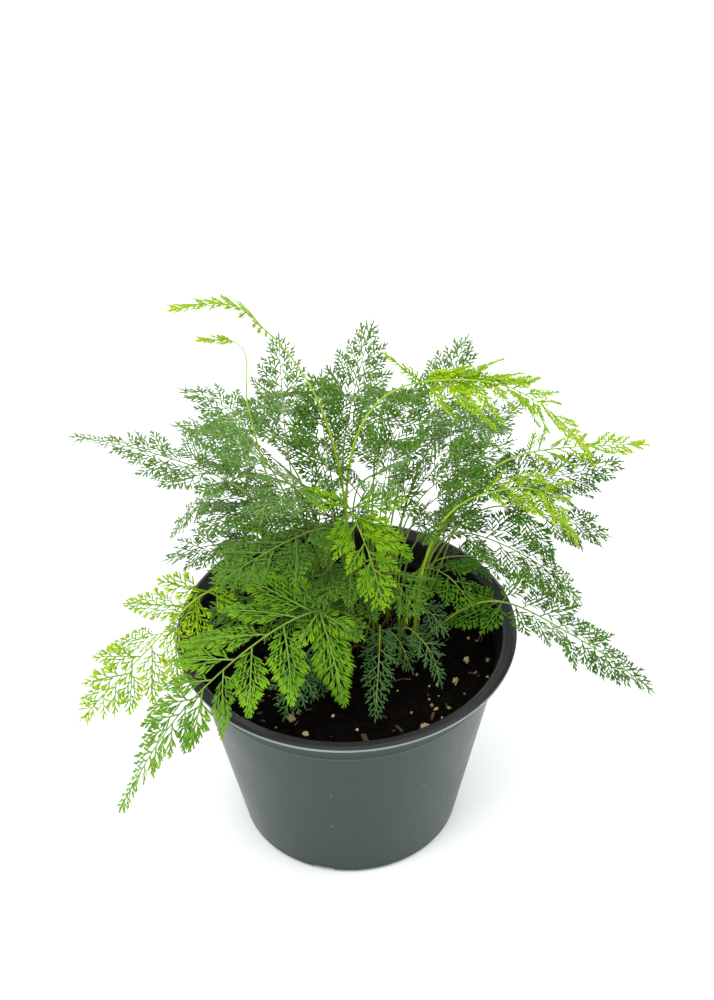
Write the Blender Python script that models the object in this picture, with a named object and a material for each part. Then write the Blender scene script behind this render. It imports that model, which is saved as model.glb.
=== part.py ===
"""A lacy footed fern in a 16 cm nursery pot.

The frame is the pot's: +Z is up, Z = 0 is the surface that the pot stands on and the origin is the
middle of its foot. The pot is one thin moulding with a flat lip, the compost fills it, the crown
sits on the compost, and each frond is one leaf: a wiry stalk that becomes the midrib of a toothed blade.
"""

import math

import bmesh
import bpy
from mathutils import Matrix, Vector
from mathutils.bvhtree import BVHTree

MM = 0.001

# Pot, in millimetres.
LIP_RADIUS = 82.5
POT_HEIGHT = 115.5
FOOT_RADIUS = 54.0
POT_WALL = 1.2
LIP_WIDTH = 5.6
LIP_DROP = 1.2
LIP_CROWN = 1.4
BAND_DEPTH = 15.5
BAND_STEP = 0.6
FOOT_ROUND = 3.2
DRAIN_COUNT = 4
DRAIN_WIDTH = 11.0
DRAIN_HEIGHT = 3.0
DRAIN_LENGTH = 16.0
DRAIN_ROUND = 1.2
DRAIN_FIRST_ANGLE = -105.0
POT_SIDES = 64

# Compost and crown.
FIT_GAP = 0.3
COMPOST_BELOW_RIM = 15.5
COMPOST_DOME = 1.5
COMPOST_SIDES = 48
CROWN_RADIUS = 30.0
CROWN_HEIGHT = 6.0
CROWN_PLACE = (10.0, 6.0)
CROWN_SIDES = 24

# Perlite grains that lie on the compost: (x, y, size).
PERLITE_GRAINS = (
    (-27.0, -46.0, 4.6),
    (-20.0, -56.0, 3.4),
    (36.0, -53.0, 4.6),
    (52.0, -22.0, 3.8),
    (58.0, -8.0, 3.4),
)

# Fronds.
STALK_THICKNESS = 1.5
MIDRIB_THICKNESS = 1.1
TIP_THICKNESS = 0.4
BLADE_TEETH = 7
NOTCH_SHARE = 0.34
TOOTH_LEAN = 0.6
BLADE_SAG = 0.1
BLADE_WIDEST = 0.14
STALK_RINGS = 5

# Each frond: name, foot (x, y), then (x, y, z) of its shoulder, where the blade begins, of the blade's
# middle and of its tip, the blade's width, how quickly it narrows (1 is straight-sided) and how far it is
# rolled to one side in degrees. Millimetres, from the middle of the compost's surface.
FRONDS = (
    ("frond_front_arch", (22, -6), (-12, -32, 55), (-69, -78, 44), (-105, -95, -9), 80, 1.5, 0),
    ("frond_left_lime", (-6, -4), (-64, -16, 54), (-93, -38, 37), (-122, -60, 17), 48, 0.9, -25),
    ("frond_centre_lime", (14, 6), (3, -10, 97), (11, -28, 86), (17, -42, 67), 46, 0.8, 0),
    ("frond_right_low", (30, -8), (72, -18, 46), (107, -28, 32), (144, -36, 4), 40, 0.9, 15),
    ("frond_right_mid", (34, 2), (55, 4, 70), (85, 2, 57), (112, 0, 30), 46, 1.0, 15),
    ("frond_right_dark", (30, 14), (74, 16, 76), (101, 20, 65), (126, 22, 52), 40, 0.9, 10),
    ("frond_right_lime_low", (32, -4), (65, 0, 96), (88, -4, 101), (107, -12, 77), 40, 1.2, 10),
    ("frond_right_lime_high", (26, 8), (86, 16, 107), (110, 20, 107), (140, 22, 106), 30, 1.0, 10),
    ("frond_top_lime", (4, 8), (36, 12, 151), (73, 8, 151), (112, 0, 120), 76, 1.2, 0),
    ("frond_tall_sprout", (2, 14), (-31, 12, 179), (-45, 8, 196), (-70, 0, 200), 14, 1.0, 0),
    ("frond_crozier_sprout", (-12, 12), (-42, 12, 140), (-46, 10, 176), (-57, 9, 179), 7, 1.0, 0),
    ("frond_back_peak", (12, 22), (1, 45, 95), (8, 60, 121), (15, 72, 141), 46, 0.9, 0),
    ("frond_back_peak_left", (0, 24), (-26, 34, 98), (-28, 52, 117), (-29, 70, 136), 44, 0.9, 0),
    ("frond_back_left_high", (-8, 22), (-40, 24, 108), (-54, 40, 119), (-74, 54, 120), 38, 1.0, 0),
    ("frond_left_high", (-12, 10), (-34, -2, 118), (-50, -2, 131), (-72, -4, 141), 38, 1.0, -10),
    ("frond_left_long", (-16, 8), (-50, 8, 98), (-86, 16, 111), (-124, 24, 116), 42, 1.0, -5),
    ("frond_far_left_droop", (-10, 26), (-46, 55, 66), (-68, 75, 40), (-91, 85, 6), 30, 0.9, 0),
    ("frond_left_middle", (-14, 16), (-34, 24, 68), (-50, 28, 74), (-70, 32, 66), 40, 0.9, 0),
    ("frond_left_low", (-18, 10), (-43, 14, 57), (-62, 16, 56), (-84, 14, 50), 38, 0.9, 0),
    ("frond_right_back", (24, 22), (46, 42, 90), (66, 56, 94), (88, 68, 98), 40, 1.0, 0),
    ("frond_right_back_low", (28, 18), (75, 34, 78), (105, 44, 72), (134, 52, 73), 52, 0.9, 10),
    ("frond_back_right_peak", (18, 24), (37, 50, 96), (50, 65, 112), (60, 78, 128), 42, 0.9, 0),
    ("frond_inner_right", (34, 18), (52, 28, 50), (56, 36, 60), (56, 44, 68), 32, 0.9, 0),
    ("frond_inner_left", (-2, 2), (-9, -4, 81), (-31, -22, 85), (-58, -38, 77), 62, 1.0, 0),
    ("frond_high_middle", (6, 20), (-6, 32, 86), (-9, 42, 108), (-9, 54, 125), 44, 0.9, 0),
    ("frond_high_middle_right", (18, 18), (20, 20, 108), (28, 30, 118), (36, 42, 129), 40, 0.9, 0),
    ("frond_high_right", (26, 12), (42, 12, 92), (60, 18, 102), (78, 26, 106), 38, 1.0, 0),
    ("frond_centre", (22, 14), (22, 16, 72), (28, 20, 82), (34, 26, 90), 30, 0.9, 0),
    ("frond_centre_left", (-6, 12), (-8, 18, 60), (-10, 22, 74), (-12, 28, 86), 32, 0.9, 0),
    ("frond_inner_front", (14, -10), (16, -22, 34), (15, -34, 24), (13, -50, 6), 30, 0.9, 0),
    ("frond_inner_front_left", (0, -10), (-17, -26, 26), (-22, -38, 22), (-29, -50, 8), 30, 0.9, 0),
    ("frond_inner_front_right", (26, -12), (30, -18, 30), (38, -24, 24), (44, -32, 10), 28, 0.9, 0),
    ("frond_inner_centre", (8, -2), (11, -10, 66), (0, -22, 66), (-12, -34, 63), 38, 0.9, 0),
    ("frond_inner_right_low", (34, 10), (48, 10, 50), (62, 10, 50), (78, 10, 40), 30, 0.9, 0),
    ("frond_far_left", (-4, 26), (-34, 60, 84), (-54, 84, 80), (-76, 104, 58), 46, 0.9, 0),
    ("frond_far_middle_left", (4, 28), (-10, 66, 92), (-22, 94, 88), (-34, 122, 64), 50, 0.9, 0),
    ("frond_far_middle", (12, 30), (18, 70, 88), (22, 98, 84), (26, 128, 60), 50, 0.9, 0),
    ("frond_far_right", (20, 26), (46, 64, 80), (64, 88, 76), (84, 110, 52), 48, 0.9, 0),
    ("frond_far_side", (28, 22), (66, 50, 58), (90, 66, 52), (114, 80, 32), 44, 0.9, 0),
    ("frond_low_left", (-14, -2), (-36, -10, 36), (-56, -14, 32), (-74, -18, 20), 34, 0.9, 0),
    ("frond_low_back_left", (-12, 18), (-34, 34, 40), (-50, 46, 36), (-64, 56, 22), 38, 0.9, 0),
    ("frond_low_back", (8, 30), (2, 46, 38), (-2, 60, 36), (-6, 72, 24), 36, 0.9, 0),
    ("frond_low_back_right", (26, 26), (38, 42, 38), (50, 54, 36), (60, 66, 24), 36, 0.9, 0),
)

# How far a frond may turn about its foot, and rise or dip, to lie clear of the ones placed before it.
TURN_TRIES = (0, 3, -3, 6, -6, 9, -9, 12, -12, 16, -16, 20, -20, 25, -25, 30, -30)
LIFT_TRIES = (1.0, 1.05, 0.95, 1.1, 0.9, 1.17, 0.83, 1.25, 0.75)

COLOURS = {
    "pot": ((0.075, 0.125, 0.098), 0.42),
    "compost": ((0.018, 0.011, 0.007), 0.95),
    "crown": ((0.11, 0.065, 0.03), 0.9),
    "perlite": ((0.62, 0.57, 0.42), 0.85),
    "frond": ((0.09, 0.22, 0.04), 0.55),
    "young_frond": ((0.36, 0.5, 0.02), 0.5),
}


def clear_scene():
    for obj in list(bpy.data.objects):
        bpy.data.objects.remove(obj)


def material(name):
    """The shared plain finish of that name."""
    found = bpy.data.materials.get(name)
    if found:
        return found
    colour, roughness = COLOURS[name]
    made = bpy.data.materials.new(name)
    made.use_nodes = True
    shader = made.node_tree.nodes["Principled BSDF"]
    shader.inputs["Base Color"].default_value = (*colour, 1.0)
    shader.inputs["Roughness"].default_value = roughness
    return made


def add_object(name, bm, finish, crease=35.0):
    """Turns a bmesh in millimetres into a named object in metres."""
    bmesh.ops.scale(bm, vec=(MM, MM, MM), verts=bm.verts)
    mesh = bpy.data.meshes.new(name)
    bm.to_mesh(mesh)
    bm.free()
    mesh.shade_smooth()
    mesh.set_sharp_from_angle(angle=math.radians(crease))
    mesh.materials.append(material(finish))
    obj = bpy.data.objects.new(name, mesh)
    bpy.context.scene.collection.objects.link(obj)
    return obj


def spun(profile, sides):
    """A closed solid turned from a profile of (radius, height) points that starts and ends on the axis
    or closes on itself."""
    bm = bmesh.new()
    verts = [bm.verts.new((radius, 0, height)) for radius, height in profile]
    edges = [bm.edges.new(pair) for pair in zip(verts, verts[1:])]
    if profile[0][0] > 0:
        edges.append(bm.edges.new((verts[-1], verts[0])))
    bmesh.ops.spin(
        bm, geom=verts + edges, axis=(0, 0, 1), cent=(0, 0, 0), angle=math.tau, steps=sides, use_merge=True
    )
    bmesh.ops.remove_doubles(bm, verts=bm.verts, dist=0.001)
    bmesh.ops.recalc_face_normals(bm, faces=bm.faces)
    return bm


def wall_top_radius():
    """The outer radius of the pot's wall where it meets the lip."""
    return LIP_RADIUS - LIP_WIDTH


def outer_radius(height):
    """The outer radius of the plain tapered wall at that height."""
    share = height / (POT_HEIGHT - LIP_CROWN)
    return FOOT_RADIUS + (wall_top_radius() - FOOT_RADIUS) * share


def inner_radius(height):
    return outer_radius(height) - POT_WALL


def compost_top():
    return POT_HEIGHT - COMPOST_BELOW_RIM


def round_corner(centre, radius, start, end, steps):
    """Points of an arc in the profile's plane, with angles in degrees."""
    return [
        (
            centre[0] + radius * math.cos(math.radians(start + (end - start) * i / steps)),
            centre[1] + radius * math.sin(math.radians(start + (end - start) * i / steps)),
        )
        for i in range(steps + 1)
    ]


def make_pot():
    """The moulded pot: a flat floor, a rounded foot, a tapered wall, a raised band under the lip and a lip
    that turns out almost flat, with drain holes through the corner of the floor."""
    band_bottom = POT_HEIGHT - BAND_DEPTH
    lip_under = POT_HEIGHT - LIP_DROP - POT_WALL
    wall_foot = outer_radius(FOOT_ROUND)
    outside = round_corner((wall_foot - FOOT_ROUND, FOOT_ROUND), FOOT_ROUND, -90, 0, 4)
    outside += [
        (outer_radius(band_bottom - 1), band_bottom - 1),
        (outer_radius(band_bottom) + BAND_STEP, band_bottom),
        (outer_radius(lip_under) + BAND_STEP, lip_under),
        (LIP_RADIUS - POT_WALL, lip_under - POT_WALL / 2),
        (LIP_RADIUS, lip_under),
        (LIP_RADIUS, POT_HEIGHT - LIP_DROP),
        (LIP_RADIUS - LIP_WIDTH * 0.3, POT_HEIGHT - LIP_DROP * 0.35),
        (wall_top_radius() + POT_WALL, POT_HEIGHT),
        (wall_top_radius(), POT_HEIGHT),
    ]
    inner_round = FOOT_ROUND - POT_WALL
    corner = (inner_radius(FOOT_ROUND) - inner_round, FOOT_ROUND)
    inside = [(inner_radius(POT_HEIGHT - LIP_CROWN), POT_HEIGHT - LIP_CROWN)]
    inside += round_corner(corner, inner_round, 0, -90, 3)
    profile = [(0, 0), *outside, *inside, (0, POT_WALL)]
    pot = add_object("pot", spun(profile, POT_SIDES), "pot", crease=50)
    for number in range(DRAIN_COUNT):
        cut_drain(pot, DRAIN_FIRST_ANGLE + number * 360.0 / DRAIN_COUNT)
    return pot


def cut_drain(pot, angle):
    """A rounded hole through the corner of the floor, at that angle from +X."""
    bm = bmesh.new()
    bmesh.ops.create_cube(bm, size=1.0)
    bmesh.ops.scale(bm, vec=(DRAIN_LENGTH, DRAIN_WIDTH, 2 * DRAIN_HEIGHT), verts=bm.verts)
    along = [e for e in bm.edges if abs(e.verts[0].co.x - e.verts[1].co.x) > 1]
    bmesh.ops.bevel(
        bm, geom=along, offset=DRAIN_ROUND, segments=3, profile=0.5, affect="EDGES", material=-1
    )
    bmesh.ops.translate(bm, vec=(FOOT_RADIUS, 0, 0), verts=bm.verts)
    bmesh.ops.rotate(bm, cent=(0, 0, 0), matrix=Matrix.Rotation(math.radians(angle), 3, "Z"), verts=bm.verts)
    cutter = add_object(f"drain_cutter_{angle:.0f}", bm, "pot")
    cutter.hide_render = True
    cutter.display_type = "WIRE"
    cut = pot.modifiers.new("drain", "BOOLEAN")
    cut.operation = "DIFFERENCE"
    cut.object = cutter


def make_compost():
    """The block of compost, which follows the pot's inside and rises a little to the middle."""
    top = compost_top()
    bottom = POT_WALL + FIT_GAP
    edge = inner_radius(top - COMPOST_DOME) - FIT_GAP
    shoulder = FOOT_ROUND + 1
    profile = [
        (0, bottom),
        (inner_radius(shoulder) - FIT_GAP - FOOT_ROUND, bottom),
        (inner_radius(shoulder) - FIT_GAP, shoulder),
        (edge, top - COMPOST_DOME),
        (edge * 0.6, top),
        (0, top),
    ]
    return add_object("compost", spun(profile, COMPOST_SIDES), "compost")


def crown_height(x, y):
    """How high the crown stands above the compost at a place, or 0 beside it."""
    share = math.hypot(x - CROWN_PLACE[0], y - CROWN_PLACE[1]) / CROWN_RADIUS
    return CROWN_HEIGHT * max(0.0, 1 - share * share)


def make_crown():
    """The low mound of matted rootstock that the stalks rise from."""
    base = compost_top() + FIT_GAP
    radii = [CROWN_RADIUS * share for share in (0.95, 0.75, 0.5, 0.25)]
    profile = [(0, base), (CROWN_RADIUS, base)]
    profile += [(r, base + 0.8 + (CROWN_HEIGHT - 0.8) * (1 - (r / CROWN_RADIUS) ** 2)) for r in radii]
    profile += [(0, base + CROWN_HEIGHT)]
    bm = spun(profile, CROWN_SIDES)
    bmesh.ops.translate(bm, vec=(*CROWN_PLACE, 0), verts=bm.verts)
    return add_object("crown", bm, "crown")


def make_perlite(number, x, y, size):
    bm = bmesh.new()
    bmesh.ops.create_icosphere(bm, subdivisions=1, radius=size / 2)
    bmesh.ops.scale(bm, vec=(1.0, 0.85, 0.7), verts=bm.verts)
    low = min(v.co.z for v in bm.verts)
    bmesh.ops.translate(bm, vec=(x, y, compost_top() + FIT_GAP - low), verts=bm.verts)
    return add_object(f"perlite_{number}", bm, "perlite")


class Route:
    """A frond's midrib: a smooth curve through its foot, shoulder, middle and tip."""

    def __init__(self, foot, stations, turn=0.0, lift=1.0):
        ground = compost_top()
        rise = crown_height(*foot) + 2 * FIT_GAP + 0.8
        start = Vector((foot[0], foot[1], ground + rise))
        turned = Matrix.Rotation(math.radians(turn), 3, "Z")
        self.points = [start]
        for x, y, z in stations:
            away = turned @ Vector((x - foot[0], y - foot[1], 0))
            self.points.append(Vector((foot[0] + away.x, foot[1] + away.y, ground + z * lift)))
        self.knots = [0.0]
        for here, there in zip(self.points, self.points[1:]):
            self.knots.append(self.knots[-1] + (there - here).length)
        self.length = self.knots[-1]
        self.start_of_blade = self.knots[1] / self.length
        self.slopes = self.find_slopes()
        heading = self.points[-1] - self.points[1]
        heading.z = 0
        self.side = heading.cross(Vector((0, 0, 1))).normalized()

    def find_slopes(self):
        """The curve's slope at each point, from the parabola through it and its neighbours."""
        steps = [b - a for a, b in zip(self.knots, self.knots[1:])]
        slants = [(b - a) / step for a, b, step in zip(self.points, self.points[1:], steps)]
        inner = []
        for i in range(len(slants) - 1):
            inner.append((slants[i] * steps[i + 1] + slants[i + 1] * steps[i]) / (steps[i] + steps[i + 1]))
        return [1.5 * slants[0] - 0.5 * inner[0], *inner, 1.5 * slants[-1] - 0.5 * inner[-1]]

    def locate(self, share):
        """(point, direction) at a share of the way along the curve."""
        along = min(max(share, 0.0), 1.0) * self.length
        i = next((n for n in range(3) if along <= self.knots[n + 1]), 2)
        span = self.knots[i + 1] - self.knots[i]
        t = (along - self.knots[i]) / span
        a, b = self.points[i], self.points[i + 1]
        m, n = self.slopes[i] * span, self.slopes[i + 1] * span
        point = (
            (2 * t**3 - 3 * t**2 + 1) * a
            + (t**3 - 2 * t**2 + t) * m
            + (3 * t**2 - 2 * t**3) * b
            + (t**3 - t**2) * n
        )
        slope = (6 * t**2 - 6 * t) * (a - b) + (3 * t**2 - 4 * t + 1) * m + (3 * t**2 - 2 * t) * n
        return point, slope.normalized()

    def frame(self, share):
        """(point, direction, side, normal) at a share of the way along the curve."""
        point, direction = self.locate(share)
        normal = self.side.cross(direction).normalized()
        return point, direction, direction.cross(normal), normal


def blade_outline(share, taper):
    """The blade's half width, as a share of its widest, at a share of the blade's length."""
    opening = min(1.0, 0.4 + 0.6 * share / BLADE_WIDEST)
    return opening * min(1.0, (1 - share) / (1 - BLADE_WIDEST)) ** taper


def frond_rings(start, width, taper):
    """(share along the frond, half width, thickness) for each ring of the frond."""
    rings = []
    for i in range(STALK_RINGS):
        rings.append((start * i / STALK_RINGS, STALK_THICKNESS / 2, STALK_THICKNESS))
    teeth = 2 * BLADE_TEETH
    for i in range(teeth + 1):
        share = i / (teeth + 1)
        half = width / 2 * blade_outline(share, taper)
        if i % 2 == 0:
            half *= NOTCH_SHARE
        thickness = MIDRIB_THICKNESS + (TIP_THICKNESS - MIDRIB_THICKNESS) * share
        rings.append((start + (1 - start) * share, max(half, thickness / 2), thickness))
    rings.append((1.0, TIP_THICKNESS / 2, TIP_THICKNESS))
    return rings


def frond_mesh(route, width, taper, roll):
    """A frond as one closed sweep: a slim stalk, then a toothed blade that is a flat diamond in section."""
    bm = bmesh.new()
    face = None
    for share, half, thickness in frond_rings(route.start_of_blade, width, taper):
        point, direction, side, normal = route.frame(share)
        turn = Matrix.Rotation(math.radians(roll) * share, 3, direction)
        side, normal = turn @ side, turn @ normal
        lean = TOOTH_LEAN * max(0.0, half - STALK_THICKNESS / 2)
        ahead = route.frame(share + lean / route.length)[0] - point
        droop = -BLADE_SAG * max(0.0, half - STALK_THICKNESS / 2) * normal
        corners = (
            point + side * half + ahead + droop,
            point + normal * thickness / 2,
            point - side * half + ahead + droop,
            point - normal * thickness / 2,
        )
        if face is None:
            face = bm.faces.new([bm.verts.new(c) for c in corners])
            continue
        made = bmesh.ops.extrude_discrete_faces(bm, faces=[face])["faces"][0]
        for vert, corner in zip(made.verts, corners):
            vert.co = corner
        face = made
    bmesh.ops.holes_fill(bm, edges=bm.edges, sides=4)
    bmesh.ops.recalc_face_normals(bm, faces=bm.faces)
    return bm


def place_frond(frond, placed):
    """Builds a frond at its own route, or at the nearest one beside it that clears what is placed."""
    name, foot, shoulder, middle, tip, width, taper, roll = frond
    for lift in LIFT_TRIES:
        for turn in TURN_TRIES:
            bm = frond_mesh(Route(foot, (shoulder, middle, tip), turn, lift), width, taper, roll)
            tree = BVHTree.FromBMesh(bm)
            if not any(tree.overlap(other) for other in placed):
                placed.append(tree)
                if turn or lift != 1.0:
                    print(f"{name} moved: turn {turn}, lift {lift}")
                return bm
            bm.free()
    raise ValueError(f"{name} has no clear place")


def main():
    clear_scene()
    made = [make_pot(), make_compost(), make_crown()]
    for number, (x, y, size) in enumerate(PERLITE_GRAINS, 1):
        made.append(make_perlite(number, x, y, size))
    bpy.context.view_layer.update()
    graph = bpy.context.evaluated_depsgraph_get()
    placed = []
    for obj in made:
        bm = bmesh.new()
        bm.from_object(obj, graph)
        bmesh.ops.scale(bm, vec=(1 / MM, 1 / MM, 1 / MM), verts=bm.verts)
        placed.append(BVHTree.FromBMesh(bm))
        bm.free()
    for frond in FRONDS:
        young = "lime" in frond[0] or "sprout" in frond[0]
        add_object(frond[0], place_frond(frond, placed), "young_frond" if young else "frond")


main()
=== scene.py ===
"""A lacy footed fern in a nursery pot, finished for close views.

Every frond is grown the way the plant grows it: a stalk carries side sprays, a spray carries sprigs, and a
sprig carries narrow lobes. Lengths are in millimetres until a piece is finished in metres.
"""

import math
import random
from dataclasses import dataclass

import bmesh
import bpy
import numpy as np
from mathutils import Matrix, Vector, noise


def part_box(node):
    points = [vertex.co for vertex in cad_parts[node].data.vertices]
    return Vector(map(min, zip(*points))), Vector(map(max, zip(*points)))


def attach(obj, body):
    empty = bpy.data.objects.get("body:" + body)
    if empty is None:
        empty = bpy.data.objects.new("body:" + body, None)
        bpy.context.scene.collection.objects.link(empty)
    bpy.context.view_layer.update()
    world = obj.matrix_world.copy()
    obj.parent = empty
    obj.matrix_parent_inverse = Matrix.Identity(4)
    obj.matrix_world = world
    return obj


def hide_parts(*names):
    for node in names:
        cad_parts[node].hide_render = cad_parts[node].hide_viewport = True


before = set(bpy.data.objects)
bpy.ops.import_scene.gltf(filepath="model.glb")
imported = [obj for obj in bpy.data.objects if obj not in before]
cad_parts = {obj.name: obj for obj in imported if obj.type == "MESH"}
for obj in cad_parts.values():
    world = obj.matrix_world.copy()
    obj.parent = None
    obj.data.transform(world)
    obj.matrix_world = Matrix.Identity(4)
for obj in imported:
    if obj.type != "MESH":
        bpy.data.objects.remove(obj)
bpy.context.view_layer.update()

MM = 0.001
UP = Vector((0, 0, 1))

# The pot, the compost and the crown, as the CAD has them.
POT_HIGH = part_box("pot")[1]
POT_HEIGHT = POT_HIGH.z / MM
LIP_RADIUS = POT_HIGH.x / MM
LIP_WIDTH = 5.6
LIP_DROP = 1.2
LIP_CROWN = 1.4
FOOT_RADIUS = 54.0
POT_WALL = 1.2
BAND_DEPTH = 15.5
DRAINS = 4
DRAIN_SIZE = (16, 11, 6)  # outwards, across and upwards
FIRST_DRAIN = -105  # degrees round the pot
COMPOST_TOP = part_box("compost")[1].z / MM
CROWN_PLACE = (10.0, 6.0)
CROWN_RADIUS = 30.0
CROWN_HEIGHT = 6.0


# ---------------------------------------------------------------- shader maths


class Value:
    """A shader socket that takes part in Python expressions."""

    def __init__(self, tree, socket):
        self.tree, self.socket = tree, socket

    def _math(self, operation, *others, swap=False):
        parts = [self, *others]
        if swap:
            parts.reverse()
        return node(self.tree, "ShaderNodeMath", {"operation": operation}, dict(enumerate(parts)))

    def __add__(self, other):
        return self._math("ADD", other)

    def __sub__(self, other):
        return self._math("SUBTRACT", other)

    def __mul__(self, other):
        return self._math("MULTIPLY", other)

    def __truediv__(self, other):
        return self._math("DIVIDE", other)

    def __rsub__(self, other):
        return self._math("SUBTRACT", other, swap=True)

    __radd__, __rmul__ = __add__, __mul__

    def between(self, low, high):
        """0 at low and 1 at high, and held there beyond."""
        return node(self.tree, "ShaderNodeMapRange", {}, {"Value": self, "From Min": low, "From Max": high})


def node(tree, kind, settings=None, values=None, output=0):
    """Adds a node, gives it its settings and then the values or links of its sockets."""
    made = tree.nodes.new(kind)
    for name, setting in (settings or {}).items():
        if name == "ramp":
            ramp = made.color_ramp
            while len(ramp.elements) > 1:
                ramp.elements.remove(ramp.elements[-1])
            for i, (place, colour) in enumerate(setting):
                stop = ramp.elements[0] if i == 0 else ramp.elements.new(place)
                stop.position, stop.color = place, (*colour, 1)
        else:
            setattr(made, name, setting)
    for name, value in (values or {}).items():
        socket = made.inputs[name]
        if isinstance(value, Value):
            tree.links.new(value.socket, socket)
        elif isinstance(value, tuple) and len(value) == 3 and socket.type == "RGBA":
            socket.default_value = (*value, 1)
        else:
            socket.default_value = value
    return Value(tree, made.outputs[output])


class Finish:
    """A new material with a Principled shader, and what its patterns read."""

    def __init__(self, name, roughness=0.5, **constants):
        self.material = bpy.data.materials.new(name)
        self.material.use_nodes = True
        self.tree = self.material.node_tree
        self.shader = self.tree.nodes["Principled BSDF"]
        self.shader.inputs["Roughness"].default_value = roughness
        for socket, value in constants.items():
            self.shader.inputs[socket.replace("_", " ")].default_value = value

    def node(self, kind, settings=None, values=None, output=0):
        return node(self.tree, kind, settings, values, output)

    def place(self):
        """Places in metres, in the piece's own frame."""
        return self.node("ShaderNodeTexCoord", output="Object")

    def read(self, name):
        """A number that the piece's own mesh carries."""
        return self.node("ShaderNodeAttribute", {"attribute_name": name}, output="Fac")

    def noise(self, scale, detail=2.0, roughness=0.5, vector=None):
        values = {"Vector": vector or self.place(), "Scale": scale, "Detail": detail, "Roughness": roughness}
        return self.node("ShaderNodeTexNoise", {}, values, output="Fac")

    def stretched(self, x, y, z):
        """The piece's own places, with a pattern on them drawn out where a number is small."""
        values = {"Vector": self.place(), "Scale": (x, y, z)}
        return self.node("ShaderNodeMapping", {}, values, output="Vector")

    def blend(self, share, low, high):
        """A mix of two colours."""
        return self.node("ShaderNodeMix", {"data_type": "RGBA"}, {0: share, 6: low, 7: high}, output=2)

    def set(self, **links):
        for socket, value in links.items():
            self.tree.links.new(value.socket, self.shader.inputs[socket.replace("_", " ")])
        return self.material

    def bump(self, height, strength, distance):
        values = {"Height": height, "Strength": strength, "Distance": distance}
        self.set(Normal=self.node("ShaderNodeBump", {}, values, output="Normal"))


PAINT_SHARE = 0.72  # the studio's light is strong, so every surface but the floor gives back less of it


def srgb(red, green, blue):
    """A colour given as it looks on a screen, from 0 to 255, in the shader's linear scale."""

    def linear(c):
        c /= 255
        return PAINT_SHARE * (c / 12.92 if c <= 0.04045 else ((c + 0.055) / 1.055) ** 2.4)

    return (linear(red), linear(green), linear(blue))


# ---------------------------------------------------------------- finishing pieces


def layered(*names):
    """An empty bmesh whose vertices carry a number under each name, which a finish reads."""
    bm = bmesh.new()
    for name in names:
        bm.verts.layers.float.new(name)
    return bm


def to_mesh(bm, name):
    """Turns a bmesh into a mesh and frees it."""
    mesh = bpy.data.meshes.new(name)
    bm.to_mesh(mesh)
    bm.free()
    return mesh


def finish_piece(name, bm, materials, replaced=(), smooth=True):
    """Turns a bmesh in millimetres into a piece in metres that rides on the pot's body."""
    bmesh.ops.scale(bm, vec=(MM, MM, MM), verts=bm.verts)
    mesh = to_mesh(bm, name)
    for material in materials:
        mesh.materials.append(material)
    if smooth:
        mesh.shade_smooth()
    piece = bpy.data.objects.new(name, mesh)
    bpy.context.scene.collection.objects.link(piece)
    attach(piece, "root")
    if replaced:
        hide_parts(*replaced)
    return piece


# ---------------------------------------------------------------- leaf lobes, sprigs and sprays

# What a leaf's vertices carry: how far out on its lobe each one is (or -1 on a spray's rib and its sprigs'
# ribs), a random lot for its sprig, and how far along the frond's blade its spray is.
LEAF_LAYERS = ("reach", "lot", "along")
LOBE_THICKNESS = 0.34
RIB_THICKNESS = 0.3
# A lobe's outline at each eighth of a turn from its end round to its base: how far along the lobe it is, as a
# share of the length, and how wide, as a share of the width.
BLUNT = {0: (1.0, 0.0), 1: (0.95, 0.62), 2: (0.64, 1.0), 3: (0.07, 0.72), 4: (-0.05, 0.0)}
SLIM = {0: (1.0, 0.0), 1: (0.92, 0.56), 2: (0.55, 1.0), 3: (0.07, 0.82), 4: (-0.05, 0.0)}


def make_lobe(shape):
    """One leaf lobe of unit length, width and thickness: a lens that is widest past its middle."""
    bm = layered(*LEAF_LAYERS)
    bmesh.ops.create_uvsphere(bm, u_segments=8, v_segments=2, radius=1.0)
    reach = bm.verts.layers.float["reach"]
    for vert in bm.verts:
        if abs(vert.co.z) > 0.5:
            vert.co = Vector((0.66, 0, 0.5 * math.copysign(1, vert.co.z)))
        else:
            eighth = round(abs(math.degrees(math.atan2(vert.co.y, vert.co.x))) / 45)
            along, across = shape[eighth]
            vert.co = Vector((along, 0.5 * across * math.copysign(1, vert.co.y), 0))
        vert[reach] = vert.co.x
    return to_mesh(bm, "lobe")


def make_rib(cuts):
    """A rib of unit length and width with four sides, thinner at its end."""
    bm = layered(*LEAF_LAYERS)
    bmesh.ops.create_cone(bm, cap_ends=True, segments=4, radius1=0.5, radius2=0.28, depth=1.0)
    if cuts:
        long_edges = [e for e in bm.edges if abs(e.verts[0].co.z - e.verts[1].co.z) > 0.5]
        bmesh.ops.subdivide_edges(bm, edges=long_edges, cuts=cuts)
    bmesh.ops.translate(bm, vec=(0, 0, 0.5), verts=bm.verts)
    bmesh.ops.rotate(bm, cent=(0, 0, 0), matrix=Matrix.Rotation(math.pi / 2, 3, "Y"), verts=bm.verts)
    reach = bm.verts.layers.float["reach"]
    for vert in bm.verts:
        vert[reach] = -1
    return to_mesh(bm, "rib")


RIB, TWIG = make_rib(6), make_rib(0)
BLUNT_LOBE, SLIM_LOBE = make_lobe(BLUNT), make_lobe(SLIM)


def add_copy(bm, mesh, matrix, lot=None):
    """Adds a placed copy of a mesh, and gives its vertices one random lot if asked."""
    before = len(bm.verts)
    bm.from_mesh(mesh)
    bm.verts.ensure_lookup_table()
    fresh = bm.verts[before:]
    bmesh.ops.transform(bm, matrix=matrix, verts=fresh)
    if lot is not None:
        layer = bm.verts.layers.float["lot"]
        for vert in fresh:
            vert[layer] = lot


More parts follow.
